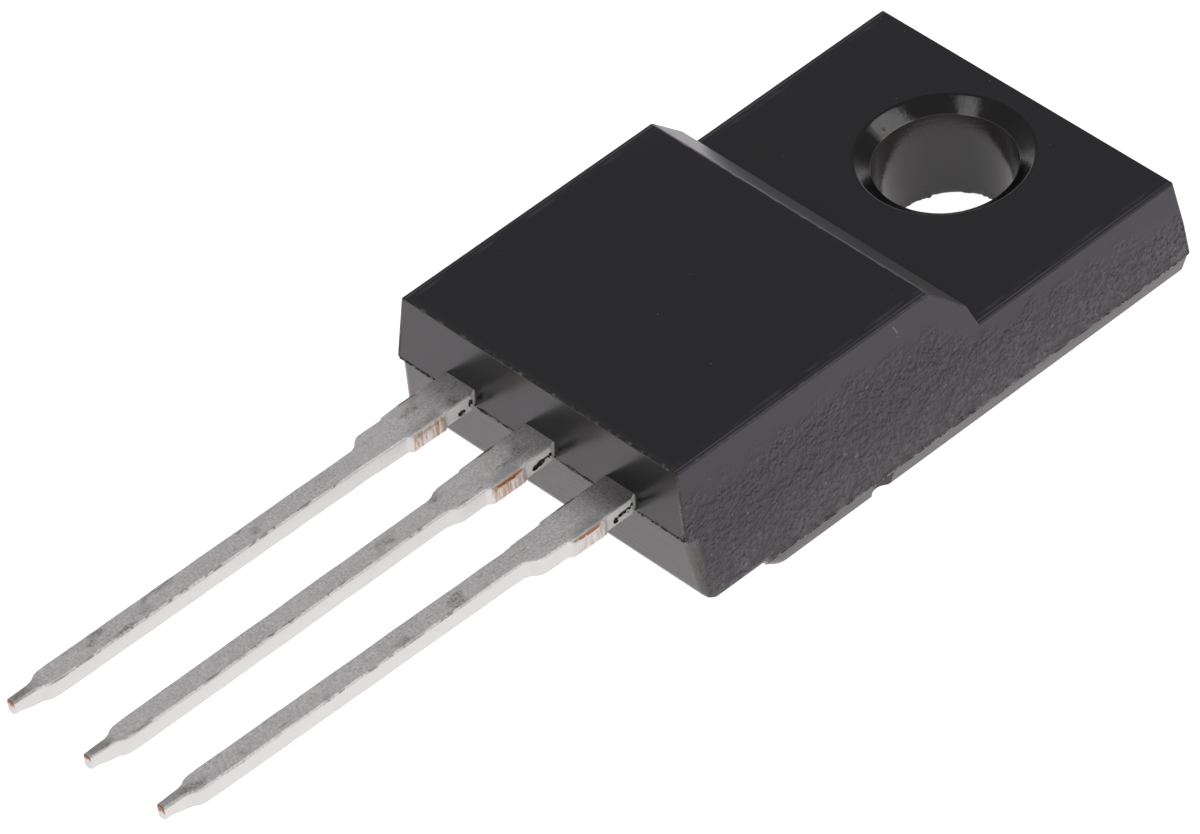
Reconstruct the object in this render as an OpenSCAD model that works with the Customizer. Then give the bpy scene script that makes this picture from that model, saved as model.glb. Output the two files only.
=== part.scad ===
// Fully moulded power transistor with three leads and a screw hole in its tab.
// The origin is the screw hole's axis at the back face. +Z points out of the
// label face, +Y from the leads to the tab's end, +X across the width.

/* [Moulded body] */
// Width of the body at its widest, which is the split line on its sides
body_w = 10.16; // [9.8:0.02:10.8]
// Thickness of the body over the chip
body_h = 4.3; // [4.15:0.05:4.8]
// Thickness of the tab
tab_h = 2.64; // [2.4:0.02:2.9]
// Distance from the screw hole's axis to the tab's end
hole_to_tab_end = 2.83; // [2.75:0.01:3.6]
// Distance from the screw hole's axis to the lead end of the body
hole_to_lead_end = 12.97; // [12.8:0.01:13.4]
// Distance from the screw hole's axis to the foot of the step
hole_to_step = 3.66; // [3.3:0.02:4]
// Height of the 45 degree chamfer at the top of the step
step_chamfer = 1; // [0.4:0.05:1.1]
// Lean of the step's wall below its chamfer, in degrees
step_lean = 20; // [5:1:25]
// Draft of the side walls, in degrees
side_draft = 8; // [4:0.5:9]
// Draft of the lead end above the leads' undersides, in degrees
lead_end_draft = 5; // [2:0.5:7]
// Draft of the lead end below the leads' undersides, in degrees
lower_end_draft = 6; // [2:0.5:8]
// Draft of the tab's end, in degrees
tab_end_draft = 3; // [1:0.5:6]

/* [Lower rim and back] */
// Height of the split line on the sides, above the back face
rim_h = 0.55; // [0.4:0.05:0.65]
// Draft of the lower rim, in degrees
rim_draft = 17; // [8:1:24]
// Set-back of the lower mould half's faces at the split line
split_step = 0.03; // [0.01:0.01:0.05]
// Radius of the back face's corners
rim_corner_r = 0.45; // [0.3:0.05:0.8]
// Length of the raised stretch at the lead end of the back
back_relief_l = 1.87; // [1.6:0.01:2.1]
// Lean of the wall that ends this raised stretch, in degrees
back_relief_lean = 40; // [10:1:45]
// Radius of the support notch in each side of the lower rim
notch_r = 0.35; // [0.2:0.05:0.5]
// Distance from the screw hole's axis to the support notches
hole_to_notch = 7.2; // [6.5:0.05:8]

/* [Screw hole] */
// Radius of the straight bore, a clearance hole for an M3 screw
bore_r = 1.6; // [1.55:0.01:1.66]
// Length of the straight bore, up from the back face
bore_l = 1.2; // [0.9:0.05:1.6]
// Radius of the drafted bore at the foot of its ring
throat_r = 1.74; // [1.68:0.01:1.85]
// Radius of the ring in the tab's top face
ring_r = 2.14; // [1.95:0.01:2.3]
// Depth of this ring
ring_d = 0.31; // [0.2:0.01:0.5]

/* [Leads] */
// Pitch of the leads' narrow tails
tail_pitch = 2.54; // [2.5:0.01:2.6]
// Pitch of the leads' wide roots, where they leave the body
root_pitch = 2.65; // [2.54:0.01:2.7]
// Height of the leads' undersides above the back face
lead_z = 2.45; // [2.35:0.01:2.55]
// Thickness of the leads
lead_t = 0.48; // [0.4:0.01:0.6]
// Width of the leads' roots
root_w = 1.02; // [0.95:0.01:1.1]
// Length of the roots, from the body to the cut tie bars
root_l = 0.9; // [0.7:0.05:1.1]
// Width over the stumps of the cut tie bars
tie_w = 1.12; // [1.1:0.01:1.2]
// Length of these stumps, along the lead
tie_l = 1.13; // [0.9:0.01:1.3]
// Width between the tie bars and the shoulders
wide_w = 0.92; // [0.86:0.01:0.94]
// Length from the tie bars to the shoulders
wide_l = 0.72; // [0.5:0.01:1]
// Length of the slope of a shoulder
shoulder_l = 0.42; // [0.3:0.01:0.6]
// Width of the tails
tail_w = 0.62; // [0.54:0.01:0.68]
// Length of the leads outside the body
lead_l = 13.69; // [12.5:0.01:14.4]
// Width of the tails' ends
tip_w = 0.25; // [0.2:0.01:0.35]
// Length of these narrow ends
tip_l = 0.68; // [0.5:0.01:0.9]
// Length of the slope before them
tip_slope_l = 0.36; // [0.2:0.01:0.5]

/* [Lead frame inside the body] */
// Thickness of the heat spreader
spreader_t = 1.2; // [1:0.05:1.25]
// Moulding between the heat spreader and the back face
spreader_cover = 0.65; // [0.6:0.01:0.7]
// Moulding between the heat spreader's sides and the body's sides
spreader_side = 1.4; // [1.2:0.05:1.8]
// Distance from the lead end of the body to the heat spreader
spreader_set_back = 2.6; // [2.5:0.05:2.9]
// Distance from the screw hole's axis to the heat spreader's far corners
hole_to_spreader = 2.2; // [2:0.05:2.8]
// Moulding between the screw hole's ring and the heat spreader
spreader_hole_gap = 0.9; // [0.7:0.05:1]
// Width of the collector lead's neck inside the body
neck_w = 1.5; // [1.3:0.05:1.7]
// Distance from the lead end of the body to the neck's bend
neck_l = 1.3; // [1.1:0.05:1.4]
// Width of the bond posts, the inner ends of the outer leads
post_w = 2; // [1.6:0.05:2.1]
// Length of the bond posts
post_l = 1.1; // [0.9:0.05:1.2]
// Distance from the lead end of the body to the bond posts
post_set_back = 0.95; // [0.8:0.05:1]
// Distance of the bond posts' middle from the middle of their root
post_shift = 0.25; // [0.2:0.01:0.4]

/* [Chip and bond wires] */
// Width of the chip
chip_w = 4.2; // [3.6:0.1:4.8]
// Length of the chip
chip_l = 3.6; // [3:0.1:4]
// Thickness of the chip
chip_t = 0.28; // [0.2:0.01:0.35]
// Distance from the heat spreader's near edge to the chip
chip_set_back = 0.8; // [0.6:0.05:1.2]
// Thickness of the solder under the chip
solder_t = 0.06; // [0.03:0.01:0.1]
// Margin of the solder around the chip
solder_margin = 0.12; // [0.05:0.01:0.2]
// Diameter of the base wire
base_wire_d = 0.2; // [0.15:0.01:0.25]
// Diameter of the emitter wire
emitter_wire_d = 0.38; // [0.3:0.01:0.4]
// Rise of the wires' loops above the line between their ends
loop_rise = 0.76; // [0.7:0.01:0.85]
// Distance of a bond from the edge of what it sits on
bond_edge = 0.5; // [0.45:0.01:0.55]
// Distance of the chip's two bonds from its middle
bond_x = 1.15; // [0.9:0.05:1.4]
// Length of a wire's flattened foot, in wire diameters
foot_length = 1.7; // [1.5:0.1:2]
// Width of this foot, in wire diameters
foot_width = 1.3; // [1.2:0.1:1.5]
// Thickness of this foot, in wire diameters
foot_thickness = 0.85; // [0.85:0.05:0.95]

/* [Hidden] */
$fn = 64;
eps = 0.01;
far = 50;
lead_end_y = -hole_to_lead_end;
lead_top = lead_z + lead_t;
tie_y = lead_end_y - root_l;
wide_y = tie_y - tie_l;
shoulder_y = wide_y - wide_l;
tail_y = shoulder_y - shoulder_l;
tip_y = lead_end_y - lead_l;
neck_y = tip_y + tip_l;
tie_slope = (tie_w - root_w) / 2;
wide_slope = (tie_w - wide_w) / 2;
post_y = lead_end_y + post_set_back;
bend_y = lead_end_y + neck_l;
spreader_y = lead_end_y + spreader_set_back;
spreader_top = spreader_cover + spreader_t;
spreader_w = body_w - 2 * spreader_side;
chip_y = spreader_y + chip_set_back + solder_margin;
chip_z = spreader_top + solder_t;
chip_top = chip_z + chip_t;

// A side view of points [y, z], carried across the width of the part
module across(points, w) {
    rotate([90, 0, 90])
        translate([0, 0, -w / 2])
            linear_extrude(w)
                polygon(points);
}

// An end view of points [x, z], carried along the whole length of the part
module along(points) {
    rotate([90, 0, 0])
        translate([0, 0, -far])
            linear_extrude(2 * far)
                polygon(points);
}

// A plate from a plan of points [x, y]
module plate(points, z, t) {
    translate([0, 0, z])
        linear_extrude(t)
            polygon(points);
}

// End view of a drafted block, widest at height z0
function drafted_end(w, z0, z1, draft) =
    let (in = abs(z1 - z0) * tan(draft))
    [[-w / 2, z0], [w / 2, z0], [w / 2 - in, z1], [in - w / 2, z1]];

// Side view of the part that the upper mould half and the lead end's block form
function upper_side_view() =
    let (
        chamfer_z = body_h - step_chamfer,
        chamfer_y = -hole_to_step - (chamfer_z - tab_h) * tan(step_lean),
        top_y = lead_end_y + (body_h - lead_z) * tan(lead_end_draft),
        low_y = lead_end_y + split_step
    )
    [
        [hole_to_tab_end, rim_h],
        [hole_to_tab_end - (tab_h - rim_h) * tan(tab_end_draft), tab_h],
        [-hole_to_step, tab_h],
        [chamfer_y, chamfer_z],
        [chamfer_y - step_chamfer, body_h],
        [top_y, body_h],
        [lead_end_y, lead_z],
        [low_y, lead_z],
        [low_y + (lead_z - rim_h) * tan(lower_end_draft), rim_h]
    ];

// Side view of the lower rim, which stops short of the lead end
function rim_side_view() =
    let (
        end_y = hole_to_tab_end - split_step,
        start_y = lead_end_y + back_relief_l
    )
    [
        [end_y, rim_h],
        [start_y, rim_h],
        [start_y + rim_h * tan(back_relief_lean), 0],
        [end_y - rim_h * tan(rim_draft), 0]
    ];

// A rectangle from y0 to y1 with round corners, carried up from z = 0
module round_plan(w, y0, y1, r, h) {
    linear_extrude(h) {
        translate([-w / 2, y0 + r])
            square([w, y1 - y0 - 2 * r]);
        translate([r - w / 2, y0])
            square([w - 2 * r, y1 - y0]);
        for (x = [r - w / 2, w / 2 - r], y = [y0 + r, y1 - r])
            translate([x, y])
                circle(r);
    }
}

module upper_block() {
    intersection() {
        across(upper_side_view(), body_w);
        along(drafted_end(body_w, rim_h, body_h, side_draft));
    }
}

module lower_rim() {
    rim_w = body_w - 2 * split_step;
    intersection() {
        across(rim_side_view(), rim_w);
        along(drafted_end(rim_w, rim_h, 0, rim_draft));
        round_plan(rim_w, lead_end_y + back_relief_l, hole_to_tab_end - split_step, rim_corner_r, rim_h);
    }
}

// The two support notches, one in each side of the lower rim
module support_notches() {
    for (side = [-1, 1])
        translate([side * body_w / 2, -hole_to_notch, -eps])
            cylinder(r = notch_r, h = rim_h + eps);
}

// A straight bore at the back, a drafted one above it, and a ring at the top
module screw_hole() {
    throat_z = tab_h - ring_d;
    ring_slope = (ring_r - throat_r) / ring_d;
    translate([0, 0, -eps])
        cylinder(r = bore_r, h = bore_l + 2 * eps);
    translate([0, 0, bore_l])
        cylinder(r1 = bore_r, r2 = throat_r, h = throat_z - bore_l);
    translate([0, 0, throat_z])
        cylinder(r1 = throat_r, r2 = ring_r + eps * ring_slope, h = ring_d + eps);
}

// One edge of a lead's plan outside the body, from the tip up to its root: side
// is 1 for the right edge, -1 for the left. root_x and tail_x are the middles of
// the root and of the tail.
function lead_side(side, root_x, tail_x) = [
    [tail_x + side * tip_w / 2, tip_y],
    [tail_x + side * tip_w / 2, neck_y],
    [tail_x + side * tail_w / 2, neck_y + tip_slope_l],
    [tail_x + side * tail_w / 2, tail_y],
    [root_x + side * wide_w / 2, shoulder_y],
    [root_x + side * wide_w / 2, wide_y - wide_slope],
    [root_x + side * tie_w / 2, wide_y],
    [root_x + side * tie_w / 2, tie_y - tie_slope],
    [root_x + side * root_w / 2, tie_y]
];

function reversed(points) = [for (i = [len(points) - 1:-1:0]) points[i]];

// Plan of a lead whose inner end is a block of width w from y0 to y1
function lead_plan(root_x, tail_x, inner_x, w, y0, y1) = concat(
    lead_side(1, root_x, tail_x),
    [
        [root_x + root_w / 2, y0],
        [inner_x + w / 2, y0],
        [inner_x + w / 2, y1],
        [inner_x - w / 2, y1],
        [inner_x - w / 2, y0],
        [root_x - root_w / 2, y0]
    ],
    reversed(lead_side(-1, root_x, tail_x))
);

// An outer lead with its bond post: side is -1 for the base, 1 for the emitter
module outer_lead(side) {
    points = lead_plan(root_pitch, tail_pitch, root_pitch + post_shift, post_w, post_y, post_y + post_l);
    plate([for (p = points) [side * p[0], p[1]]], lead_z, lead_t);
}

// The middle lead, its neck, the slope down, and the heat spreader
module spreader_lead() {
    plate(lead_plan(0, 0, 0, neck_w, post_y, bend_y), lead_z, lead_t);
    across([
        [bend_y, lead_z],
        [bend_y, lead_top],
        [spreader_y, spreader_top],
        [spreader_y, spreader_top - lead_t]
    ], neck_w);
    difference() {
        translate([-spreader_w / 2, spreader_y, spreader_cover])
            cube([spreader_w, -hole_to_spreader - spreader_y, spreader_t]);
        cylinder(r = ring_r + spreader_hole_gap, h = far);
    }
}

module chip_block() {
    translate([-chip_w / 2, chip_y, chip_z])
        cube([chip_w, chip_l, chip_t]);
}

module solder_layer() {
    translate([-chip_w / 2 - solder_margin, chip_y - solder_margin, spreader_top])
        cube([chip_w + 2 * solder_margin, chip_l + 2 * solder_margin, solder_t]);
}

// A bond wire of diameter d in the plane from a to b. The loop is one arc, and
// each end is a flattened foot that lies on its bond and holds the arc's end.
module bond_wire(a, b, d) {
    span = norm([b[0] - a[0], b[1] - a[1]]);
    climb = b[2] - a[2];
    chord = norm([span, climb]);
    r = (chord * chord / 4 + loop_rise * loop_rise) / (2 * loop_rise);
    half_turn = asin(chord / 2 / r);
    foot = [foot_length * d, foot_thickness * d, foot_width * d];
    translate([a[0], a[1], a[2] + foot[1] / 2])
        rotate([0, 0, atan2(b[1] - a[1], b[0] - a[0])])
            rotate([90, 0, 0]) {
                for (end = [[0, 0, 0], [span, climb, 0]])
                    translate(end - foot / 2)
                        cube(foot);
                translate([span / 2, climb / 2, 0])
                    rotate([0, 0, atan2(climb, span)])
                        translate([0, loop_rise - r, 0])
                            rotate([0, 0, 90 - half_turn])
                                rotate_extrude(angle = 2 * half_turn)
                                    translate([r, 0])
                                        circle(d / 2);
            }
}

// A wire from the chip to the bond post on the given side
module chip_wire(side, d) {
    chip_bond = [side * bond_x, chip_y + bond_edge, chip_top];
    post_bond = [side * (root_pitch + post_shift), post_y + post_l - bond_edge, lead_top];
    bond_wire(chip_bond, post_bond, d);
}

// Everything that the moulding flows around
module lead_frame() {
    outer_lead(-1);
    outer_lead(1);
    spreader_lead();
    solder_layer();
    chip_block();
    chip_wire(-1, base_wire_d);
    chip_wire(1, emitter_wire_d);
}

module moulded_body() {
    color([0.15, 0.15, 0.16])
        difference() {
            union() {
                upper_block();
                lower_rim();
            }
            support_notches();
            screw_hole();
            lead_frame();
        }
}

module base_lead() {
    color([0.62, 0.61, 0.6])
        outer_lead(-1);
}

module emitter_lead() {
    color([0.62, 0.61, 0.6])
        outer_lead(1);
}

module collector_lead() {
    color([0.72, 0.45, 0.3])
        spreader_lead();
}

module transistor_chip() {
    color([0.35, 0.37, 0.45])
        chip_block();
}

module chip_solder() {
    color([0.5, 0.5, 0.48])
        solder_layer();
}

module base_wire() {
    color([0.8, 0.8, 0.82])
        chip_wire(-1, base_wire_d);
}

module emitter_wire() {
    color([0.8, 0.8, 0.82])
        chip_wire(1, emitter_wire_d);
}

moulded_body();
base_lead();
collector_lead();
emitter_lead();
transistor_chip();
chip_solder();
base_wire();
emitter_wire();
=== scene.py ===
"""Fully moulded power transistor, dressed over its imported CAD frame.

Pieces are made in millimetres, and become metres when they are placed.
+Z is out of the label face, +Y runs from the leads to the tab's end.
"""
import math

import bmesh
import bpy
from mathutils import Matrix, Vector, noise


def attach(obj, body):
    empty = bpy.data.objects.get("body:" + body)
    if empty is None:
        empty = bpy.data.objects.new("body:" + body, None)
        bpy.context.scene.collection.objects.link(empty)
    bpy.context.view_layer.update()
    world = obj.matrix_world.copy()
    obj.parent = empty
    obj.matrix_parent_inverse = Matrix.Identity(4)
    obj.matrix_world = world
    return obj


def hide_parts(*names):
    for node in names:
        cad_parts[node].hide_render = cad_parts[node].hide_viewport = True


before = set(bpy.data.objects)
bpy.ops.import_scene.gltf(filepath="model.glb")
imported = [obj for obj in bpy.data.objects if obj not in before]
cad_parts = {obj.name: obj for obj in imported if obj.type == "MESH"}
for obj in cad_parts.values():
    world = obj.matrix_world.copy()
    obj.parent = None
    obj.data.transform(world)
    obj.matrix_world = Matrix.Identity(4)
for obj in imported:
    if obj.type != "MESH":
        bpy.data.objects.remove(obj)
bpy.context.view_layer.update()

MM = 0.001
rad = math.radians

# The moulding, with sizes as in the part's source: across, heights, then places along y
BODY_HALF, SPLIT_STEP = 5.08, 0.03
TAN_SIDE = math.tan(rad(8))
RIM_Z, TAB_TOP, CHAMFER_Z, BODY_TOP = 0.55, 2.64, 3.3, 4.3
TAB_END, STEP_Y, RIM_START, LEAD_END = 2.83, -3.66, -11.1, -12.97
CHAMFER_Y = STEP_Y - (CHAMFER_Z - TAB_TOP) * math.tan(rad(20))
BROW_Y = CHAMFER_Y - (BODY_TOP - CHAMFER_Z)
NOTCH_Y = -7.2
# The screw hole: radii of the bore and the ring, and the ring's lower edge
BORE_R, BORE_TOP_R, RING_R, RING_Z = 1.6, 1.74, 2.14, 2.34
# The leads: underside and top, half width at the root, distances between middles, and places along y
LEAD_Z, LEAD_TOP, ROOT_HALF = 2.45, 2.93, 0.51
ROOT_PITCH, TAIL_PITCH = 2.65, 2.54
TIE_Y, STUMP_MID_Y, WIDE_Y, SHOULDER_Y, TAIL_Y, TIP_Y = -13.87, -14.43, -15.0, -15.72, -16.14, -26.66
# The lead frame inside: the spreader's underside and top, half the width of its neck, and where its bend starts
SPREADER_Z, SPREADER_TOP, NECK_HALF, BEND_Y = 0.65, 1.85, 0.75, LEAD_END + 1.3


def half_width(z):
    """Half of the body's width at height z."""
    return BODY_HALF - (z - RIM_Z) * TAN_SIDE


# ---------------------------------------------------------------- camera

def make_camera():
    """The photograph's view: f is in pixels of its 1200 x 834 frame."""
    azimuth, elevation, roll = rad(51.494), rad(42.260), rad(-7.429)
    distance, aim, f = 227.021, Vector((-2.1471, -9.4331, -0.348)), 9822.2
    back = Vector((math.sin(azimuth) * math.cos(elevation), -math.cos(azimuth) * math.cos(elevation),
                   math.sin(elevation)))
    right = Vector((math.cos(azimuth), math.sin(azimuth), 0))
    up = back.cross(right)
    across = right * math.cos(roll) + up * math.sin(roll)
    upward = up * math.cos(roll) - right * math.sin(roll)
    data = bpy.data.cameras.new("view_of_the_leads")
    data.sensor_width, data.lens = 36, f * 36 / 1200
    data.clip_start, data.clip_end = 0.01, 5
    camera = bpy.data.objects.new("view_of_the_leads", data)
    turn = Matrix((across, upward, back)).transposed().to_4x4()
    camera.matrix_world = Matrix.Translation((aim + back * distance) * MM) @ turn
    bpy.context.scene.collection.objects.link(camera)
    bpy.context.scene.camera = camera


# ---------------------------------------------------------------- finishes

class Value:
    """A socket that takes part in Python sums: each operator adds a Math node."""

    def __init__(self, finish, socket):
        self.finish, self.socket = finish, socket

    def maths(self, operation, *others):
        return self.finish.value("ShaderNodeMath", {"operation": operation}, self, *others)

    def __add__(self, other):
        return self.maths("ADD", other)

    def __sub__(self, other):
        return self.maths("SUBTRACT", other)

    def __rsub__(self, other):
        return self.finish.value("ShaderNodeMath", {"operation": "SUBTRACT"}, other, self)

    def __mul__(self, other):
        return self.maths("MULTIPLY", other)

    def __truediv__(self, other):
        return self.maths("DIVIDE", other)

    def __pow__(self, other):
        return self.maths("POWER", other)

    __radd__, __rmul__ = __add__, __mul__

    def size(self):
        return self.maths("ABSOLUTE")

    def rise(self, start, end):
        """0 before start, 1 after end, smooth between."""
        return self.finish.value("ShaderNodeMapRange", {"interpolation_type": "SMOOTHSTEP", "clamp": True},
                                 self, start, end, 0.0, 1.0)

    def band(self, low, high, soft):
        """1 between low and high, with soft edges."""
        return self.rise(low - soft, low + soft) * (1 - self.rise(high - soft, high + soft))


class Finish:
    """A material with one Principled shader, and the methods that feed it."""

    def __init__(self, name, **constants):
        self.material = bpy.data.materials.new(name)
        self.material.use_nodes = True
        self.tree = self.material.node_tree
        self.shader = self.tree.nodes["Principled BSDF"]
        for socket, value in constants.items():
            self.feed(socket.replace("_", " "), value)
        coordinates = self.node("ShaderNodeTexCoord")
        self.place = self.value("ShaderNodeVectorMath", {"operation": "SCALE"},
                                coordinates.outputs["Object"], Scale=1 / MM)
        split = self.node("ShaderNodeSeparateXYZ", {}, self.place)
        self.x, self.y, self.z = (Value(self, s) for s in split.outputs)

    def node(self, kind, settings=None, *inputs, **named):
        made = self.tree.nodes.new(kind)
        for key, value in (settings or {}).items():
            setattr(made, key, value)
        for i, value in list(enumerate(inputs)) + [(k.replace("_", " "), v) for k, v in named.items()]:
            self.put(made.inputs[i], value)
        return made

    def put(self, socket, value):
        if isinstance(value, Value):
            self.tree.links.new(value.socket, socket)
        elif isinstance(value, bpy.types.NodeSocket):
            self.tree.links.new(value, socket)
        elif isinstance(value, tuple) and len(value) == 3 and len(socket.default_value) == 4:
            socket.default_value = (*value, 1)
        else:
            socket.default_value = value

    def value(self, kind, settings=None, *inputs, **named):
        return Value(self, self.node(kind, settings, *inputs, **named).outputs[0])

    def feed(self, socket, value):
        self.put(self.shader.inputs[socket], value)

    def colour(self, share, low, high):
        """low where share is 0, high where it is 1."""
        mix = self.tree.nodes.new("ShaderNodeMix")
        mix.data_type, mix.clamp_factor = "RGBA", True
        for socket, value in ((0, share), (6, low), (7, high)):
            self.put(mix.inputs[socket], value)
        return Value(self, mix.outputs[2])

    def grain(self, per_mm, detail=2.0, roughness=0.5, stretch=(1, 1, 1), shift=(0, 0, 0)):
        """Noise from 0 to 1 with so many features to a millimetre."""
        place = self.node("ShaderNodeMapping", {}, self.place, shift, (0, 0, 0), stretch).outputs[0]
        return self.value("ShaderNodeTexNoise", {}, Vector=place, Scale=per_mm, Detail=detail, Roughness=roughness)

    def cells(self, per_mm, stretch=(1, 1, 1)):
        """Distance to the nearest cell's middle, so many cells to a millimetre."""
        place = self.node("ShaderNodeMapping", {}, self.place, (0, 0, 0), (0, 0, 0), stretch).outputs[0]
        return self.value("ShaderNodeTexVoronoi", {"feature": "SMOOTH_F1"}, Vector=place, Scale=per_mm,
                          Smoothness=0.4)

    def bump(self, height, depth_mm, after=None):
        """A bump whose height, 0 to 1, is worth depth_mm."""
        named = {"Height": height, "Distance": depth_mm * MM, "Strength": 1.0}
        if after is not None:
            named["Normal"] = after
        return self.node("ShaderNodeBump", {}, **named).outputs[0]


def moulding_finish():
    """Black moulding compound: polished in the hole and its ring, satin on top, leathery low on the side walls."""
    f = Finish("black_moulding_compound", IOR=1.52, Specular_IOR_Level=0.5)
    edge = f.x.size() + (f.z - RIM_Z) * TAN_SIDE - BODY_HALF
    front_gap = f.y - LEAD_END - (f.z - LEAD_Z).size() * 0.09
    wall = edge.rise(-0.12, -0.03)
    lead_end = 1 - f.y.rise(LEAD_END + 0.25, LEAD_END + 0.37)
    ends = lead_end + f.y.rise(TAB_END - 0.17, TAB_END - 0.11)
    rim = 1 - f.z.rise(RIM_Z, RIM_Z + SPLIT_STEP)
    reach = (f.x ** 2 + f.y ** 2) ** 0.5
    ring = reach.band(BORE_TOP_R + 0.02, RING_R + 0.03, 0.015) * f.z.rise(RING_Z - 0.04, RING_Z)
    cloud = f.grain(0.35, 3.0)
    patches = f.grain(1.1, 2.0)
    fine = f.grain(14.0, 3.0, 0.6)
    # the leathery texture starts at this height, lower past the step, and fades in downward
    start = 3.45 - f.y.rise(-6.2, -2.6) * 1.35 - f.y.rise(-2.6, 2.2) * 0.3
    rough = (1 - (f.z + (patches - 0.5) * 1.3 - start).rise(-0.5, 0.3)) * wall * (1 - rim)
    wrinkle = f.grain(8.0, 2.0, 0.5, (1, 0.85, 1), (3, 1, 2))
    pits = f.cells(7.5, (1.0, 0.85, 1)).rise(0.12, 0.5)
    uneven = f.grain(1.6, 2.0, 0.5, (1, 1, 1), (7, 2, 4)).rise(0.35, 0.62) + 0.35
    leather = (wrinkle.rise(0.36, 0.62) * 0.65 + pits * 0.35) * uneven
    streaks = f.grain(6.0, 3.0, 0.6, (0.15, 1, 1.6))
    low_end = lead_end * (1 - f.z.rise(LEAD_Z - 0.05, LEAD_Z - 0.01))
    chamfer_sheen = (f.y.rise(BROW_Y - 0.02, BROW_Y + 0.02) * (1 - f.y.rise(STEP_Y - 0.04, STEP_Y + 0.04))
               * f.z.rise(TAB_TOP + 0.02, TAB_TOP + 0.06))
    bore = (1 - reach.rise(BORE_TOP_R + 0.02, BORE_TOP_R + 0.05)) * (1 - f.z.rise(RING_Z, RING_Z + 0.04))
    low = 1 - (f.z + (patches - 0.5) * 0.6).rise(0.5, 2.4)
    wall_tone = f.colour(low, (0.03, 0.0265, 0.034), (0.105, 0.096, 0.102))
    tone = f.colour(wall, (0.0115, 0.0105, 0.0135), wall_tone)
    # painted sheen: a paler tone on the chamfer, for the light it catches at a grazing angle
    tone = f.colour(chamfer_sheen * (1 - wall), tone, (0.06, 0.058, 0.062))
    # painted light: a paler tone in the bore, for the light it gets from the white floor through the hole
    tone = f.colour(bore, tone, (0.05, 0.0455, 0.043))
    # painted reflection: the polished ring made darker, for the dark studio that it mirrors
    tone = f.colour(ring, tone, (0.004, 0.0038, 0.0045))
    # painted shade: a darker tone in the hollows of the leathery texture
    tone = f.colour(rough * (1 - leather), tone, (0.02, 0.0185, 0.02))
    tone = f.colour(ends, tone, (0.022, 0.0205, 0.0205))
    tone = f.colour(low_end * (0.25 + streaks * 0.9), tone, (0.14, 0.125, 0.115))
    tone = f.colour(rim * f.z.rise(0.005, 0.03) * reach.rise(1.8, 1.9), tone, (0.098, 0.084, 0.078))
    tone = f.colour((cloud - 0.42) * 0.4, tone, (0.024, 0.023, 0.025))
    # a pale line just inside the long top edges, a painted highlight of their rounding, and scuffs a little further
    # in
    flat_top = f.z.rise(BODY_TOP - 0.01, BODY_TOP - 0.006) + f.z.band(TAB_TOP - 0.01, TAB_TOP + 0.01, 0.003)
    scuffs = f.grain(4.0, 3.0, 0.6, (1.5, 0.3, 1), (1, 6, 2)).rise(0.42, 0.62)
    lip = (edge.band(-0.125, -0.09, 0.008) * (cloud.rise(0.3, 0.6) * 0.5 + 0.3)
           + edge.band(-0.27, -0.18, 0.03) * scuffs * 0.35) * flat_top
    tone = f.colour(lip, tone, (0.1, 0.097, 0.112))
    # chips along the sharp edges, and dust
    top = f.z.rise(BODY_TOP - 0.07, BODY_TOP - 0.03)
    face = 1 - front_gap.rise(0.03, 0.07)
    side = edge.rise(-0.07, -0.03)
    flakes = f.grain(4.5, 4.0, 0.7, (1, 1, 1), (2, 7, 1)).rise(0.5, 0.68)
    corner = side * (front_gap + (patches - 0.5) * 0.14).band(0.17, 0.22, 0.02) * (1 - f.z.rise(2.3, 2.4))
    brow = f.y.band(BROW_Y - 0.035, BROW_Y + 0.03, 0.012) * f.z.rise(BODY_TOP - 0.1, BODY_TOP - 0.06) * (1 - side)
    worn = (top * face + side * face + top * side * 0.5 + corner * 0.8 + brow * 0.55) * flakes
    tone = f.colour(worn * 0.6, tone, (0.2, 0.19, 0.185))
    dust = f.grain(7.0, 1.0, 0.5, (1, 1, 1), (5, 5, 5)).rise(0.81, 0.84)
    crumbs = f.grain(9.0, 1.0, 0.5, (1, 1, 1), (8, 3, 1)).rise(0.7, 0.76) * rough
    # one short scratch, high on the right wall
    scratch = (f.y + 6.03 + (f.z - 3.99) * 0.4).size().rise(0.03, 0.012)
    scratch = scratch * f.z.band(3.88, 4.1, 0.02) * f.x.rise(1, 2)
    tone = f.colour(dust * 0.5 + crumbs * 0.4 + scratch * 0.5, tone, (0.35, 0.33, 0.31))
    f.feed("Base Color", tone)
    shine = 0.33 + wall * 0.04 + (cloud - 0.5) * 0.1 + rough * 0.05 - ends * 0.11 - bore * 0.2
    mottling = f.grain(5.0, 3.0, 0.6, (1, 1, 1), (2, 2, 9)).rise(0.42, 0.6)
    # one dull spot in the polished ring
    pock = 1 - (((f.x + 1.87) ** 2 + (f.y + 0.15) ** 2) ** 0.5).rise(0.03, 0.06)
    f.feed("Roughness", shine * (1 - ring * (0.72 - mottling * 0.3)) + pock * ring * 0.25)
    skin = f.bump(fine, 0.0022)
    f.feed("Normal", f.bump(leather * rough + worn * -0.3, 0.042, skin))
    return f.material


def flash_finish():
    """Thin leftover resin: greyer than the block, with pale broken edges."""
    f = Finish("thin_flash_resin", IOR=1.52)
    chips = f.grain(5.0, 3.0, 0.7).rise(0.48, 0.6)
    past_front = f.y.rise(LEAD_END + 0.37, LEAD_END + 0.57)
    resin_tone = f.colour(past_front, (0.028, 0.026, 0.026), (0.045, 0.04, 0.038))
    f.feed("Base Color", f.colour(chips, resin_tone, (0.4, 0.38, 0.36)))
    f.feed("Roughness", 0.4 + chips * 0.2)
    f.feed("Normal", f.bump(chips, 0.01))
    return f.material


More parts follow.
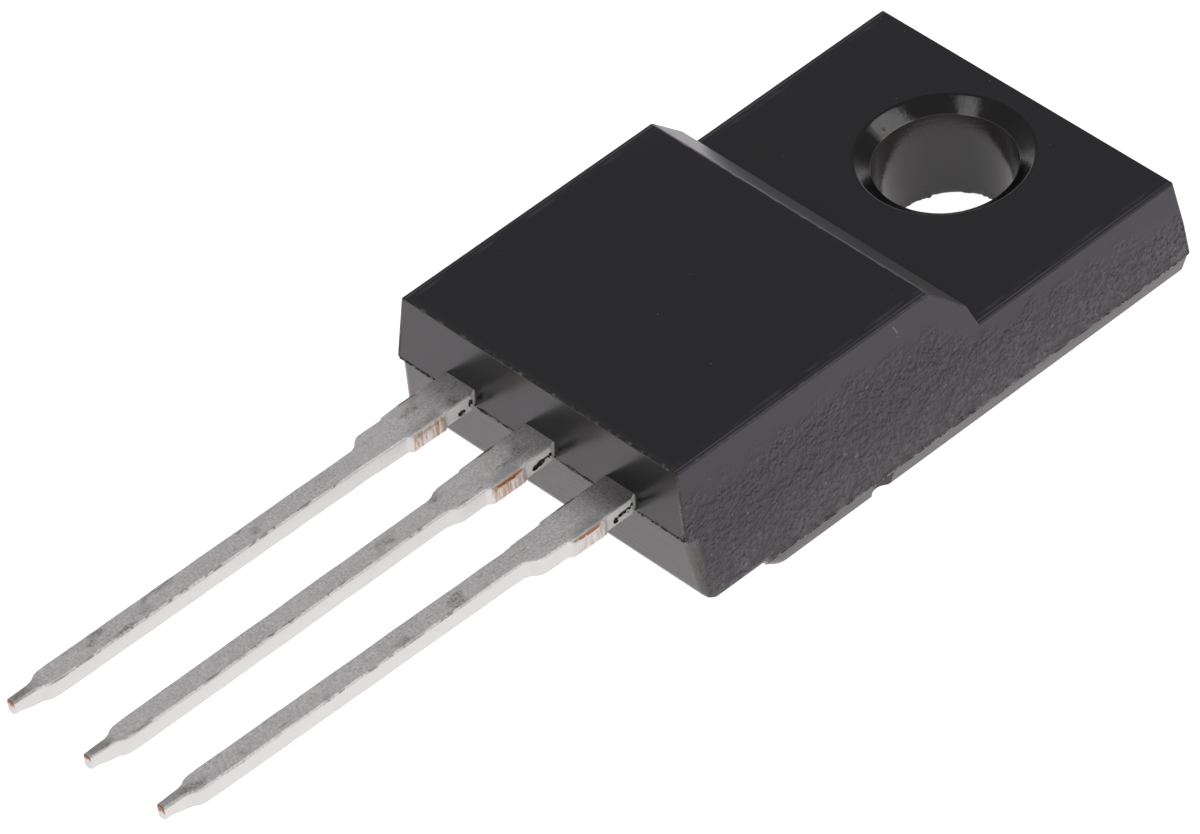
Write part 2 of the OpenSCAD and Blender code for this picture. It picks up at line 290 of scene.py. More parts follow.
def lead_finish(name, root_x, tail_x, smear, copper_lip, pits):
    """Matt tin over stamped copper, bare where the tie bars and tips were cut, pitted at the root."""
    f = Finish(name, IOR=1.5)
    right = f.x - root_x
    side = 1 - f.z.rise(LEAD_TOP - 0.06, LEAD_TOP - 0.015)
    speck = f.grain(15.0, 3.0, 0.7)
    mottle = f.grain(4.5, 3.0, 0.6, (1, 0.6, 1))
    cloud = f.grain(0.9, 2.0)
    scratch = f.grain(7.0, 3.0, 0.6, (1.8, 0.3, 1)).rise(0.62, 0.72)
    stain = f.grain(1.5, 2.0, 0.5, (1, 0.6, 1), (4, 2, 0)).rise(0.6, 0.68) * speck.rise(0.42, 0.6)
    # where the tie bars were cut: striped sides, a copper lip under the top edge, painted shade on its rolled edge,
    # a burr
    cut = f.y.band(WIDE_Y + 0.08, TIE_Y - 0.08, 0.05) * (right.size() - (ROOT_HALF - 0.01)).rise(0.0, 0.03) * side
    arch = 1 - ((f.y - STUMP_MID_Y) / 0.5) ** 2
    tooth = f.grain(9.0, 3.0, 0.6, (0.5, 1.3, 0.22), (1, 4, 2))
    lip = cut * (f.z + arch * 0.07 + (tooth - 0.5) * 0.16 - (LEAD_TOP - 0.05)).rise(0, 0.025) * copper_lip
    roll = f.y.band(WIDE_Y + 0.2, TIE_Y - 0.13, 0.15) * right.rise(0.1, 0.5) * (1 - side)
    burr = (f.y.band(STUMP_MID_Y + 0.01, TIE_Y - 0.01, 0.05)
            * (0 - right + (mottle - 0.5) * 0.06).rise(ROOT_HALF - 0.07, ROOT_HALF - 0.03))
    dull = f.y.rise(WIDE_Y + 0.1, LEAD_END - 0.13) * (1 - side)
    neck = 1 - f.y.rise(TIP_Y + 0.5, TIP_Y + 1.0)
    # dark dashes along the tail's right top edge
    shear = (f.x - tail_x).rise(0.21, 0.25) * (1 - f.y.rise(TAIL_Y - 0.86, TAIL_Y - 0.26)) * (1 - side)
    dashes = shear * f.grain(4.5, 3.0, 0.65, (1, 0.5, 1), (6, 1, 3)).rise(0.52, 0.6)
    inside = f.y.rise(LEAD_END + 0.05, LEAD_END + 0.15)
    tip = ((1 - f.y.rise(TIP_Y + 0.02, TIP_Y + 0.03))
           * (f.z + (speck - 0.5) * 0.4).rise(LEAD_TOP - 0.13, LEAD_TOP - 0.09))
    root = f.y.rise(TIE_Y - 0.43, TIE_Y + 0.17)
    tin = f.colour(speck.rise(0.3, 0.7), (0.63, 0.608, 0.602), (0.98, 0.96, 0.955))
    tin = f.colour(mottle.rise(0.4, 0.7) * 0.35, tin, (0.64, 0.62, 0.61))
    tin = f.colour(cloud.rise(0.35, 0.65) * 0.25, tin, (0.92, 0.9, 0.89))
    dull_tin = f.colour(speck.rise(0.35, 0.65), (0.19, 0.182, 0.18), (0.35, 0.337, 0.333))
    tin = f.colour(dull * (0.5 + f.x.rise(0.5, 3) * 0.5) + neck * 0.45, tin, dull_tin)
    # painted shade: the top darker on its right over the cut stump, where its edge rolls down
    tin = f.colour(roll * 0.5, tin, (0.28, 0.27, 0.265))
    tin = f.colour(stain * 0.7 + scratch * 0.5 + dashes * 0.65, tin, (0.13, 0.125, 0.12))
    # the sides take plain pale tin, paler towards the root: painted light where the body shades them
    tin = f.colour(side, tin, f.colour(root, (0.82, 0.82, 0.79), (0.96, 0.957, 0.93)))
    bare = f.colour(tooth.rise(0.4, 0.6), (0.62, 0.42, 0.3), (0.95, 0.88, 0.83))
    tin = f.colour(cut * (cloud.rise(0.2, 0.5) * 0.4 + smear), tin, bare)
    tin = f.colour(lip, tin, (0.42, 0.14, 0.04))
    tin = f.colour(burr * 0.85, tin, (0.11, 0.06, 0.04))
    tin = f.colour(tip, tin, (0.42, 0.19, 0.1))
    tin = f.colour(inside, tin, (0.72, 0.40, 0.26))
    metal = 0.5 + inside * 0.5 - side * root * (1 - inside) * 0.42
    for y, z, long, high in pits:
        away = (((f.y - y) / long) ** 2 + ((f.z - z) / high) ** 2) ** 0.5 + (mottle - 0.5) * 0.5
        hollow = (1 - away.rise(0.95, 1.15)) * right.rise(0.3, 0.32)
        # painted shade: the pits are made near black and not metallic inside
        tin = f.colour(hollow, tin, (0.01, 0.009, 0.009))
        metal = metal * (1 - hollow)
    f.feed("Base Color", tin)
    f.feed("Metallic", metal)
    f.feed("Roughness", 0.44 + (speck - 0.5) * 0.2)
    f.feed("Normal", f.bump(speck * 0.5 + mottle * 0.5 + scratch * -0.6 + cut * tooth * 2.5, 0.008))
    return f.material


def silicon_finish():
    """Polished chip with the aluminium fingers of its contacts."""
    f = Finish("polished_silicon", IOR=3.4)
    fingers = f.value("ShaderNodeMath", {"operation": "PINGPONG"}, f.y, 0.09).rise(0.03, 0.05)
    frame_edge = (f.x.size() - 1.95).rise(0.0, 0.02)
    film = f.grain(0.6, 2.0)
    metal = fingers * (1 - frame_edge)
    silicon = f.colour(film, (0.10, 0.11, 0.16), (0.16, 0.15, 0.2))
    f.feed("Base Color", f.colour(metal, silicon, (0.66, 0.67, 0.7)))
    f.feed("Metallic", metal)
    f.feed("Roughness", 0.14 + metal * 0.2 + film * 0.08)
    return f.material


def solder_finish():
    """Dull grey solder."""
    f = Finish("die_solder", Metallic=1.0)
    grain = f.grain(4.0, 4.0, 0.6)
    f.feed("Base Color", f.colour(grain, (0.36, 0.36, 0.35), (0.62, 0.62, 0.6)))
    f.feed("Roughness", 0.35 + grain * 0.3)
    f.feed("Normal", f.bump(grain, 0.01))
    return f.material


def wire_finish():
    """Bright drawn aluminium."""
    f = Finish("bond_aluminium", Metallic=1.0)
    grain = f.grain(12.0, 2.0, 0.5)
    f.feed("Base Color", f.colour(grain, (0.72, 0.73, 0.75), (0.88, 0.89, 0.9)))
    f.feed("Roughness", 0.22 + grain * 0.2)
    f.feed("Normal", f.bump(grain, 0.003))
    return f.material


# ---------------------------------------------------------------- mesh making

def mesh_piece(name, points, faces, edges=()):
    """A piece in millimetres; its object sits at the origin."""
    mesh = bpy.data.meshes.new(name)
    mesh.from_pydata([Vector(p) for p in points], list(edges), faces)
    mesh.validate()
    piece = bpy.data.objects.new(name, mesh)
    bpy.context.scene.collection.objects.link(piece)
    return piece


def place(piece, material, slot, replaced=None):
    """Brings a finished piece from millimetres to metres, and onto the body."""
    piece.data.transform(Matrix.Scale(MM, 4))
    piece.data.materials.clear()
    piece.data.materials.append(material)
    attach(piece, "root")
    if replaced:
        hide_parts(replaced)


def outward(piece, merge=1e-4):
    """Merges a piece's doubled points and turns its faces outward."""
    bm = bmesh.new()
    bm.from_mesh(piece.data)
    bmesh.ops.remove_doubles(bm, verts=bm.verts, dist=merge)
    bmesh.ops.recalc_face_normals(bm, faces=bm.faces)
    bm.to_mesh(piece.data)
    bm.free()
    return piece


def settle(piece):
    """Turns a piece's modifiers into plain mesh."""
    bpy.context.view_layer.update()
    done = bpy.data.meshes.new_from_object(piece.evaluated_get(bpy.context.evaluated_depsgraph_get()))
    piece.modifiers.clear()
    old, piece.data = piece.data, done
    bpy.data.meshes.remove(old)
    return piece


def loft(rings):
    """Points and faces of a closed skin over rings of the same number of points."""
    n = len(rings[0])
    points = [p for ring in rings for p in ring]
    faces = [(i * n + j, i * n + (j + 1) % n, (i + 1) * n + (j + 1) % n, (i + 1) * n + j)
             for i in range(len(rings) - 1) for j in range(n)]
    faces += [tuple(reversed(range(n))), tuple(range((len(rings) - 1) * n, len(rings) * n))]
    return points, faces


def cut(piece, cutter, operation="DIFFERENCE"):
    """Cuts a piece with a cutter, or joins the two, and removes the cutter."""
    change = piece.modifiers.new(operation.lower(), "BOOLEAN")
    change.operation, change.object, change.solver = operation, cutter, "EXACT"
    settle(piece)
    bpy.data.objects.remove(cutter)


def shade(piece):
    """Smooth faces with sharp edges over 35 degrees, and flats kept flat."""
    piece.data.shade_smooth()
    piece.data.set_sharp_from_angle(angle=rad(35))
    weighted = piece.modifiers.new("flats", "WEIGHTED_NORMAL")
    weighted.keep_sharp, weighted.weight = True, 60
    return piece


def node_copy(name):
    """A merged copy of a CAD node in millimetres, to cut with."""
    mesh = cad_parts[name].data
    return outward(mesh_piece(name + "_copy", [v.co / MM for v in mesh.vertices],
                              [tuple(face.vertices) for face in mesh.polygons]), 1e-3)


# ---------------------------------------------------------------- moulding

def upper_block():
    """Block of the upper mould half, with its edges rounded by weight."""
    tab_draft = (TAB_TOP - RIM_Z) * math.tan(rad(3))
    upper_draft = (BODY_TOP - LEAD_Z) * math.tan(rad(5))
    lower_draft = (LEAD_Z - RIM_Z) * math.tan(rad(6))
    # outline seen from the side, each point (y, z), from the tab's end over the top to the rim
    view = [(TAB_END, RIM_Z), (TAB_END - 0.007, 1.4), (TAB_END - tab_draft, TAB_TOP), (STEP_Y, TAB_TOP),
            (CHAMFER_Y, CHAMFER_Z), (BROW_Y, BODY_TOP), (LEAD_END + upper_draft, BODY_TOP),
            (LEAD_END, LEAD_Z + 0.01), (LEAD_END + 0.055, LEAD_Z - 0.075),
            (LEAD_END + SPLIT_STEP + lower_draft, RIM_Z), (RIM_START - 0.2, RIM_Z)]
    n = len(view)
    points = [(side * half_width(z), y, z) for side in (-1, 1) for y, z in view]
    faces = [tuple(range(n)), tuple(reversed(range(n, 2 * n)))]
    faces += [(n + i, n + (i + 1) % n, (i + 1) % n, i) for i in range(n)]
    block = outward(mesh_piece("moulding", points, faces))
    # rounding in millimetres of the edges that run across (by point) and along (by first point)
    across = [0.08, 0.3, 0.04, 0.02, 0.02, 0.06, 0.05, 0.01, 0.01, 0.3, 0]
    along = [0.08, 0.08, 0.05, 0.04, 0.04, 0.06, 0.04, 0.08, 0.26, 0.24, 0.02]
    widest = 0.3
    block.data.attributes.new("bevel_weight_edge", "FLOAT", "EDGE")
    bm = bmesh.new()
    bm.from_mesh(block.data)
    layer = bm.edges.layers.float["bevel_weight_edge"]
    spots = {(round(y, 3), round(z, 3)): i for i, (y, z) in enumerate(view)}
    for edge in bm.edges:
        a, b = (spots[(round(v.co.y, 3), round(v.co.z, 3))] for v in edge.verts)
        first = max(a, b) if {a, b} == {0, n - 1} else min(a, b)
        edge[layer] = (across[a] if a == b else along[first]) / widest
    bm.to_mesh(block.data)
    bm.free()
    rounding = block.modifiers.new("rounding", "BEVEL")
    rounding.limit_method, rounding.width, rounding.segments = "WEIGHT", widest, 4
    rounding.use_clamp_overlap, rounding.miter_outer = False, "MITER_SHARP"
    return settle(block)


def rim_ring(inset, z, steps=8):
    """Plan of the lower rim at height z, corners rounded."""
    below = max(0, RIM_Z - z)
    draft, relief = below * math.tan(rad(17)), below * math.tan(rad(40))
    x1 = BODY_HALF - SPLIT_STEP - draft - inset
    y0, y1 = RIM_START + relief + inset, TAB_END - SPLIT_STEP - draft * 0.4 - inset
    far, near = 0.1 - inset, 0.45 - inset
    ring = []
    for cx, cy, r, turn in ((x1 - far, y1 - far, far, 0), (far - x1, y1 - far, far, 90),
                            (near - x1, y0 + near, near, 180), (x1 - near, y0 + near, near, 270)):
        for k in range(steps + 1):
            a = rad(turn + 90 * k / steps)
            ring.append((cx + r * math.cos(a), cy + r * math.sin(a), z))
    return ring


def lower_rim():
    """The rim of the lower mould half, with a rounded lower edge of radius r."""
    r = 0.07
    rings = [rim_ring(0, RIM_Z + 0.2), rim_ring(0, RIM_Z - 0.005), rim_ring(0, r)]
    rings += [rim_ring(r * (1 - math.cos(rad(t))), r * (1 - math.sin(rad(t)))) for t in (30, 60, 90)]
    return outward(mesh_piece("rim", *loft(rings)))


def hole_cutter(segments=192):
    """The screw hole: drafted bore and ring, with soft edges."""
    # each point (radius, height), from below the back to above the tab
    profile = [(1.68, -0.5), (1.68, -0.02), (1.64, 0), (1.608, 0.04), (BORE_R, 0.09), (BORE_R, 0.2),
               (BORE_R + 0.003, 0.25), (BORE_TOP_R - 0.005, RING_Z - 0.06), (BORE_TOP_R - 0.001, RING_Z - 0.005),
               (BORE_TOP_R + 0.012, RING_Z + 0.006), (RING_R - 0.04, TAB_TOP - 0.03),
               (RING_R - 0.005, TAB_TOP - 0.008), (2.18, TAB_TOP + 0.002), (2.24, TAB_TOP + 0.02), (2.3, 3.2)]
    rings = []
    for r, z in profile:
        # leftover resin makes the lower end of the bore ragged
        ragged = max(0, 1 - abs(z - 0.05) / 0.14) * (r < 1.65)
        ring = []
        for k in range(segments):
            a = 2 * math.pi * k / segments
            torn = max(0, noise.fractal(Vector((math.cos(a) * 4, math.sin(a) * 4, 2.5)), 0.7, 2, 4) + 0.25)
            # only on the side that the photograph shows
            torn *= min(1, max(0, 1.6 * math.cos(a - rad(141))))
            reach = r - 0.11 * torn * ragged
            ring.append((reach * math.cos(a), reach * math.sin(a), z))
        rings.append(ring)
    return outward(mesh_piece("hole_cutter", *loft(rings)))


def notch_cutter(side):
    """A round notch in the lower rim."""
    rings = []
    for r, z in ((0.35, -0.2), (0.35, 0.5), (0.33, 0.54), (0.27, 0.57)):
        rings.append([(side * BODY_HALF + r * math.cos(rad(15 * k)), NOTCH_Y + r * math.sin(rad(15 * k)), z)
                      for k in range(24)])
    return outward(mesh_piece("notch_cutter", *loft(rings)))


def make_moulding(material):
    """Both mould halves joined, with the hole, the notches and the cavities that the inner pieces fill."""
    block = upper_block()
    cut(block, lower_rim(), "UNION")
    cut(block, hole_cutter())
    for side in (-1, 1):
        cut(block, notch_cutter(side))
    for node in ("base_lead", "collector_lead", "emitter_lead", "chip_solder", "transistor_chip",
                 "base_wire", "emitter_wire"):
        cut(block, node_copy(node))
    place(shade(block), material, "epoxy", "moulded_body")


# ---------------------------------------------------------------- leads

def between(y, stops):
    """Value at y on a smooth line through stops, each (y, value), from the body outward."""
    for (y0, v0), (y1, v1) in zip(stops, stops[1:]):
        if y >= y1:
            t = min(1, max(0, (y0 - y) / (y0 - y1)))
            return v0 + (v1 - v0) * t * t * (3 - 2 * t)
    return stops[-1][1]


def lead_section(y, root_x, tail_x, seed):
    """One cross-section of a lead at y: a rectangle with each corner rounded by its own radius."""
    waver = 0.012 * noise.noise(Vector((0, y * 1.7, seed)))
    centre = between(y, [(SHOULDER_Y, root_x), (TAIL_Y, tail_x)])
    # half width: root, cut stump of the tie bar, shoulder, tail, neck
    left = between(y, [(LEAD_END, ROOT_HALF), (TIE_Y + 0.02, ROOT_HALF), (TIE_Y - 0.09, 0.575),
                       (WIDE_Y + 0.09, 0.565), (WIDE_Y - 0.04, 0.46), (SHOULDER_Y, 0.455),
                       (SHOULDER_Y - 0.09, 0.43), (TAIL_Y + 0.09, 0.335), (TAIL_Y, 0.31),
                       (TIP_Y + 1.06, 0.305), (TIP_Y + 0.96, 0.275), (TIP_Y + 0.72, 0.165),
                       (TIP_Y + 0.62, 0.14), (TIP_Y, 0.12)])
    right = left - between(y, [(LEAD_END + 0.02, 0.07), (LEAD_END - 0.13, 0)])
    stump = between(y, [(TIE_Y + 0.04, 0), (TIE_Y - 0.1, 1), (WIDE_Y + 0.1, 1), (WIDE_Y - 0.05, 0)])
    edge = 0.055 + 0.075 * stump
    foot = between(y, [(TIP_Y + 0.7, 0.035), (TIP_Y + 0.1, 0.09)])
    x0, x1 = centre - left + waver, centre + right + waver
    top = LEAD_TOP - 0.012 * stump
    bottom = between(y, [(TIP_Y + 0.7, LEAD_Z), (TIP_Y + 0.1, LEAD_Z + 0.08)])
    ring = []
    for cx, cz, r, turn in ((x1 - edge, top - edge, edge, 0), (x0 + edge, top - edge, edge, 90),
                            (x0 + foot, bottom + foot, foot, 180), (x1 - foot, bottom + foot, foot, 270)):
        arc = [(cx + r * math.cos(rad(turn + 22.5 * k)), cz + r * math.sin(rad(turn + 22.5 * k)))
               for k in range(5)]
        if turn == 90:
            # more points across the top, for its unevenness
            start = ring[-1]
            ring += [(start[0] + (arc[0][0] - start[0]) * k / 6, start[1] + (arc[0][1] - start[1]) * k / 6)
                     for k in range(1, 6)]
        ring += arc
    return ring


def pit_cutter(x, y, z, long, high):
    """A ragged hollow in a lead's right side."""
    rings = []
    for k in range(1, 8):
        turn = math.pi * k / 8
        ring = []
        for j in range(16):
            a = 2 * math.pi * j / 16
            uneven = 0.8 * noise.noise(Vector((math.cos(a) * 1.6, math.sin(a) * 1.6, y * 9)))
            r = math.sin(turn) * (1 + uneven)
            ring.append((x - 0.07 * math.cos(turn), y + long * r * math.cos(a), z + high * r * math.sin(a)))
        rings.append(ring)
    return outward(mesh_piece("pit_cutter", *loft(rings)))


def make_lead(name, node, root_x, tail_x, drift, lift, seed, copper, pits, inner):
    """Outer part of a lead lofted from the body to its tip, with its inner end joined on."""
    stations = [LEAD_END + 0.97, LEAD_END + 0.05]
    y = LEAD_END
    while y > TIP_Y + 0.04:
        stations.append(y)
        y -= 0.045 if y > TAIL_Y - 0.2 or y < TIP_Y + 1.2 else 0.3
    stations.append(TIP_Y + 0.03)
    rings = []
    for y in stations:
        away = max(0, (TAIL_Y - y) / (TAIL_Y - TIP_Y))
        ring = []
        for x, z in lead_section(y, root_x, tail_x, seed):
            uneven = 0.006 * noise.noise(Vector((x * 3, y * 2.2, z * 3 + seed)))
            ring.append((x + drift * away, y, z + lift * away + uneven))
        rings.append(ring)
    last = rings[-1]
    mx, mz = sum(p[0] for p in last) / len(last), sum(p[2] for p in last) / len(last) + 0.03
    for inward, y in ((0.93, TIP_Y + 0.012), (0.8, TIP_Y)):
        rings.append([(mx + (x - mx) * inward, y, mz + (z - mz) * inward) for x, _, z in last])
    piece = outward(mesh_piece(name, *loft(rings)))
    for block in inner:
        cut(piece, block, "UNION")
    for y, z, long, high in pits:
        cut(piece, pit_cutter(root_x + ROOT_HALF, y, z, long, high))
    tin = lead_finish(name + "_tin", root_x, tail_x, *copper, pits)
    place(shade(piece), tin, "frame_copper" if node == "collector_lead" else "tinned_copper", node)


def stamped_block(name, x0, x1, y0, y1, z0, z1, r=0.05):
    """A stamped inner piece of the lead frame with broken edges."""
    points = [(x, y, z) for x in (x0, x1) for y in (y0, y1) for z in (z0, z1)]
    faces = [(0, 1, 3, 2), (4, 6, 7, 5), (0, 4, 5, 1), (2, 3, 7, 6), (0, 2, 6, 4), (1, 5, 7, 3)]
    block = outward(mesh_piece(name, points, faces))
    rounding = block.modifiers.new("edges", "BEVEL")
    rounding.width, rounding.segments = r, 2
    return settle(block)


def bond_post(side):
    """The wide inner end of an outer lead, where its wire is bonded."""
    x = side * (ROOT_PITCH + 0.25)
    y = LEAD_END + 0.95
    return stamped_block("bond_post", x - 1, x + 1, y, y + 1.1, LEAD_Z, LEAD_TOP)


def heat_spreader():
    """Spreader, the slope up to the lead, and the neck, of one piece of copper."""
    y0, y1, half = LEAD_END + 2.6, -2.2, 3.68
    spreader = stamped_block("spreader", -half, half, y0, y1, SPREADER_Z, SPREADER_TOP)
    # a round bite keeps the copper clear of the screw hole
    bite_r = 3.04
    bite = [[(bite_r * math.cos(rad(5 * k)), bite_r * math.sin(rad(5 * k)), z) for k in range(72)] for z in (0, 3)]
    cut(spreader, outward(mesh_piece("bite", *loft(bite))))
    foot_y = y0 + 0.02
    view = [(BEND_Y - 0.02, LEAD_Z), (BEND_Y - 0.02, LEAD_TOP), (BEND_Y, LEAD_TOP), (foot_y, SPREADER_TOP),
            (foot_y, SPREADER_TOP - LEAD_TOP + LEAD_Z), (BEND_Y, LEAD_Z)]
    slope = [[(x, y, z) for y, z in view] for x in (-NECK_HALF, NECK_HALF)]
    cut(spreader, outward(mesh_piece("slope", *loft(slope))), "UNION")
    neck = stamped_block("neck", -NECK_HALF, NECK_HALF, LEAD_END + 0.95, BEND_Y, LEAD_Z, LEAD_TOP, 0.03)
    return [spreader, neck]


# ---------------------------------------------------------------- flash on the split lines

def flash_tree(material):
    """Geometry Nodes: a thin fin along a path, torn by noise; also the names of its inputs' sockets."""
    tree = bpy.data.node_groups.new("torn_flash", "GeometryNodeTree")
    sockets = {}
    for label, kind in (("Geometry", "NodeSocketGeometry"), ("Spacing", "NodeSocketFloat"),
                        ("Thickness", "NodeSocketFloat"), ("Seed", "NodeSocketFloat")):
        sockets[label] = tree.interface.new_socket(label, in_out="INPUT", socket_type=kind).identifier
    tree.interface.new_socket("Geometry", in_out="OUTPUT", socket_type="NodeSocketGeometry")
    nodes, links = tree.nodes, tree.links

    def add(kind, settings=None, inputs=None):
        made = nodes.new(kind)
        for key, value in (settings or {}).items():
            setattr(made, key, value)
        for key, value in (inputs or {}).items():
            if isinstance(value, bpy.types.NodeSocket):
                links.new(value, made.inputs[key])
            else:
                made.inputs[key].default_value = value
        return made

    start = add("NodeGroupInput")
    path = add("GeometryNodeMeshToCurve", {}, {"Mesh": start.outputs["Geometry"]})
    even = add("GeometryNodeResampleCurve", {"mode": "LENGTH"},
               {"Curve": path.outputs[0], "Length": start.outputs["Spacing"]})
    place = add("GeometryNodeInputPosition")
    torn = add("ShaderNodeTexNoise", {"noise_dimensions": "4D"},
               {"Vector": place.outputs[0], "W": start.outputs["Seed"], "Scale": 4.6, "Detail": 3.0})
    spread = add("ShaderNodeMapRange", {}, {"Value": torn.outputs[0], "From Min": 0.35, "From Max": 0.65,
                                            "To Min": 0.15, "To Max": 1.0})
    radius = add("ShaderNodeMath", {"operation": "MULTIPLY"}, {0: spread.outputs[0], 1: start.outputs["Thickness"]})
    sized = add("GeometryNodeSetCurveRadius", {}, {"Curve": even.outputs[0], "Radius": radius.outputs[0]})
    section = add("GeometryNodeCurvePrimitiveCircle", {}, {"Resolution": 5, "Radius": 1.0})
    width = add("GeometryNodeInputRadius")
    fin = add("GeometryNodeCurveToMesh", {},
              {"Curve": sized.outputs[0], "Profile Curve": section.outputs[0], "Scale": width.outputs[0],
               "Fill Caps": True})
    finish = add("GeometryNodeSetMaterial", {}, {"Geometry": fin.outputs[0], "Material": material})
    add("NodeGroupOutput", {}, {0: finish.outputs[0]})
    return tree, sockets


def make_flash(name, path, tree, sockets, material, thickness, seed):
    """Torn resin along a path, with its greatest thickness in millimetres."""
    piece = mesh_piece(name, path, [], [(i, i + 1) for i in range(len(path) - 1)])
    change = piece.modifiers.new("flash", "NODES")
    change.node_group = tree
    for label, value in (("Spacing", 0.05), ("Thickness", thickness), ("Seed", seed)):
        change[sockets[label]] = value
    settle(piece)
    piece.data.shade_smooth()
    place(piece, material, "epoxy")


def flash_paths():
    """Split lines where the photograph shows torn flash."""
    front = LEAD_END - 0.002
    corner = half_width(LEAD_Z) - 0.1
    clear = ROOT_HALF + 0.02
    gaps = [(-corner, -ROOT_PITCH - clear), (-ROOT_PITCH + clear, -clear), (clear, ROOT_PITCH - clear),
            (ROOT_PITCH + clear, corner)]
    paths = {f"front_flash_{i}": [(a, front, LEAD_Z), ((a + b) / 2, front, LEAD_Z), (b, front, LEAD_Z)]
             for i, (a, b) in enumerate(gaps)}
    low = RIM_Z + 0.004
    for side, word in ((-1, "left"), (1, "right")):
        paths[f"side_flash_{word}"] = [(side * (BODY_HALF - 0.003), y, low) for y in (RIM_START + 0.1, -4, 2.5)]
    paths["end_flash"] = [(x, TAB_END - 0.002, low) for x in (-4.75, 0, 4.75)]
    return paths


# ---------------------------------------------------------------- stage and light

def make_floor():
    """White paper that glows for the camera and for reflections, and so stays white under the part."""
    material = bpy.data.materials.new("white_sweep")
    material.use_nodes = True
    tree = material.node_tree
    tree.nodes.clear()
    out = tree.nodes.new("ShaderNodeOutputMaterial")
    paper = tree.nodes.new("ShaderNodeBsdfDiffuse")
    paper.inputs["Color"].default_value = (0.62, 0.6, 0.62, 1)
    glow = tree.nodes.new("ShaderNodeEmission")
    glow.inputs["Color"].default_value = (1.0, 0.97, 1.0, 1)
    rays = tree.nodes.new("ShaderNodeLightPath")
    seen = tree.nodes.new("ShaderNodeMath")
    seen.operation = "MAXIMUM"
    either = tree.nodes.new("ShaderNodeMath")
    either.operation = "MAXIMUM"
    level = tree.nodes.new("ShaderNodeMath")
    level.operation = "MULTIPLY"
    level.inputs[1].default_value = 0.95
    both = tree.nodes.new("ShaderNodeAddShader")
    links = tree.links
    links.new(rays.outputs["Is Camera Ray"], seen.inputs[0])
    links.new(rays.outputs["Is Glossy Ray"], seen.inputs[1])
    links.new(seen.outputs[0], either.inputs[0])
    links.new(rays.outputs["Is Transmission Ray"], either.inputs[1])
    links.new(either.outputs[0], level.inputs[0])
    links.new(level.outputs[0], glow.inputs["Strength"])
    links.new(paper.outputs[0], both.inputs[0])
    links.new(glow.outputs[0], both.inputs[1])
    links.new(both.outputs[0], out.inputs["Surface"])
    # in metres, just below the back face
    half, level_z = 2.5, -2e-5
    corners = [(-half, -half, level_z), (half, -half, level_z), (half, half, level_z), (-half, half, level_z)]
    floor = mesh_piece("sweep", corners, [(0, 1, 2, 3)])
    floor.data.materials.append(material)


def make_world():
    """A soft studio: grey above, bright low down on the left, dim low down on the right.

    Each list of stops, (height from 0 to 1, level), is one side's; the two are mixed across x.
    """
    world = bpy.data.worlds.new("studio")
    bpy.context.scene.world = world
    world.use_nodes = True
    tree = world.node_tree
    background = tree.nodes["Background"]
    place = tree.nodes.new("ShaderNodeTexCoord")
    split = tree.nodes.new("ShaderNodeSeparateXYZ")
    tree.links.new(place.outputs["Generated"], split.inputs[0])
    shades = []
    for stops in ([(0.0, 1.0), (0.12, 1.0), (0.24, 0.32), (0.6, 0.28), (1.0, 0.32)],
                  [(0.0, 0.22), (0.12, 0.2), (0.24, 0.2), (0.6, 0.28), (1.0, 0.32)]):
        ramp = tree.nodes.new("ShaderNodeValToRGB")
        elements = ramp.color_ramp.elements
        while len(elements) < len(stops):
            elements.new(0.5)
        for element, (position, level) in zip(elements, stops):
            element.position, element.color = position, (level, level, level * 1.01, 1)
        tree.links.new(split.outputs["Z"], ramp.inputs[0])
        shades.append(ramp.outputs[0])
    across = tree.nodes.new("ShaderNodeMapRange")
    across.interpolation_type = "SMOOTHSTEP"
    tree.links.new(split.outputs["X"], across.inputs["Value"])
    across.inputs["From Min"].default_value, across.inputs["From Max"].default_value = -0.25, 0.1
    mix = tree.nodes.new("ShaderNodeMix")
    mix.data_type = "RGBA"
    tree.links.new(across.outputs[0], mix.inputs[0])
    tree.links.new(shades[0], mix.inputs[6])
    tree.links.new(shades[1], mix.inputs[7])
    tree.links.new(mix.outputs[2], background.inputs["Color"])
    background.inputs["Strength"].default_value = 1.0


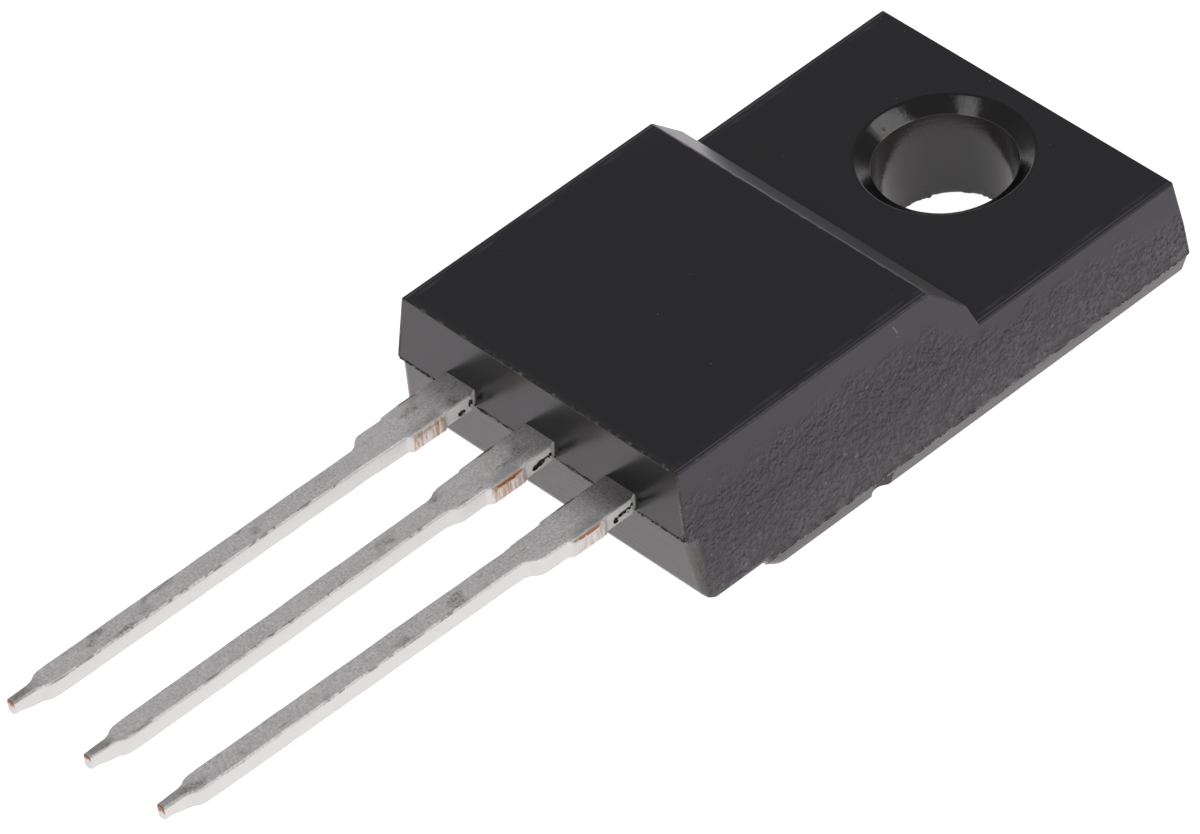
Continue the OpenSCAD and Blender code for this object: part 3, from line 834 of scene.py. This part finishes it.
def soft_box(name, azimuth, elevation, distance, width, height, power):
    """A lamp that looks at the body; azimuth and elevation as for a camera, sizes in metres."""
    data = bpy.data.lights.new(name, "AREA")
    data.shape, data.size, data.size_y, data.energy = "RECTANGLE", width, height, power
    lamp = bpy.data.objects.new(name, data)
    a, e = rad(azimuth), rad(elevation)
    back = Vector((math.sin(a) * math.cos(e), -math.cos(a) * math.cos(e), math.sin(e)))
    lamp.location = Vector((0, -6 * MM, 2 * MM)) + back * distance
    lamp.rotation_mode = "QUATERNION"
    lamp.rotation_quaternion = back.to_track_quat("Z", "Y")
    bpy.context.scene.collection.objects.link(lamp)


def make_studio():
    """Floor, sky and three lamps, with the picture's colours as they are computed."""
    make_floor()
    make_world()
    soft_box("front_box", -3, 58, 0.5, 0.14, 0.18, 0.17)
    soft_box("rear_box", 130, 47, 0.5, 0.34, 0.2, 0.5)
    soft_box("low_box", 68, 22, 0.5, 0.25, 0.25, 0.5)
    bpy.context.scene.view_settings.view_transform = "Standard"


# ---------------------------------------------------------------- the part

make_camera()
make_studio()
make_moulding(moulding_finish())
make_lead("base_lead_metal", "base_lead", -ROOT_PITCH, -TAIL_PITCH, -0.047, 0.02, 3.1, (0.75, 0.3),
          [(-13.11, 2.67, 0.08, 0.1), (-13.4, 2.57, 0.11, 0.08)], [bond_post(-1)])
make_lead("collector_lead_metal", "collector_lead", 0, 0, -0.01, -0.018, 7.4, (0.6, 1.0),
          [(-13.57, 2.6, 0.1, 0.07), (-13.41, 2.64, 0.12, 0.085), (-13.24, 2.66, 0.1, 0.055),
           (-13.11, 2.66, 0.06, 0.07)], heat_spreader())
make_lead("emitter_lead_metal", "emitter_lead", ROOT_PITCH, TAIL_PITCH, -0.092, 0.04, 5.7, (0.15, 0.9),
          [(-13.58, 2.6, 0.08, 0.08), (-13.38, 2.67, 0.12, 0.06), (-13.22, 2.68, 0.1, 0.065),
           (-13.08, 2.71, 0.06, 0.07)], [bond_post(1)])
resin = flash_finish()
torn, torn_sockets = flash_tree(resin)
for index, (label, route) in enumerate(flash_paths().items()):
    thick = 0.045 if label.startswith("front") else 0.024
    make_flash(label, route, torn, torn_sockets, resin, thick, 2.0 + index)
for label, finish in (("transistor_chip", silicon_finish()), ("chip_solder", solder_finish()),
                      ("base_wire", wire_finish()), ("emitter_wire", wire_finish())):
    inner_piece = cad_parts[label]
    inner_piece.data.materials.clear()
    inner_piece.data.materials.append(finish)
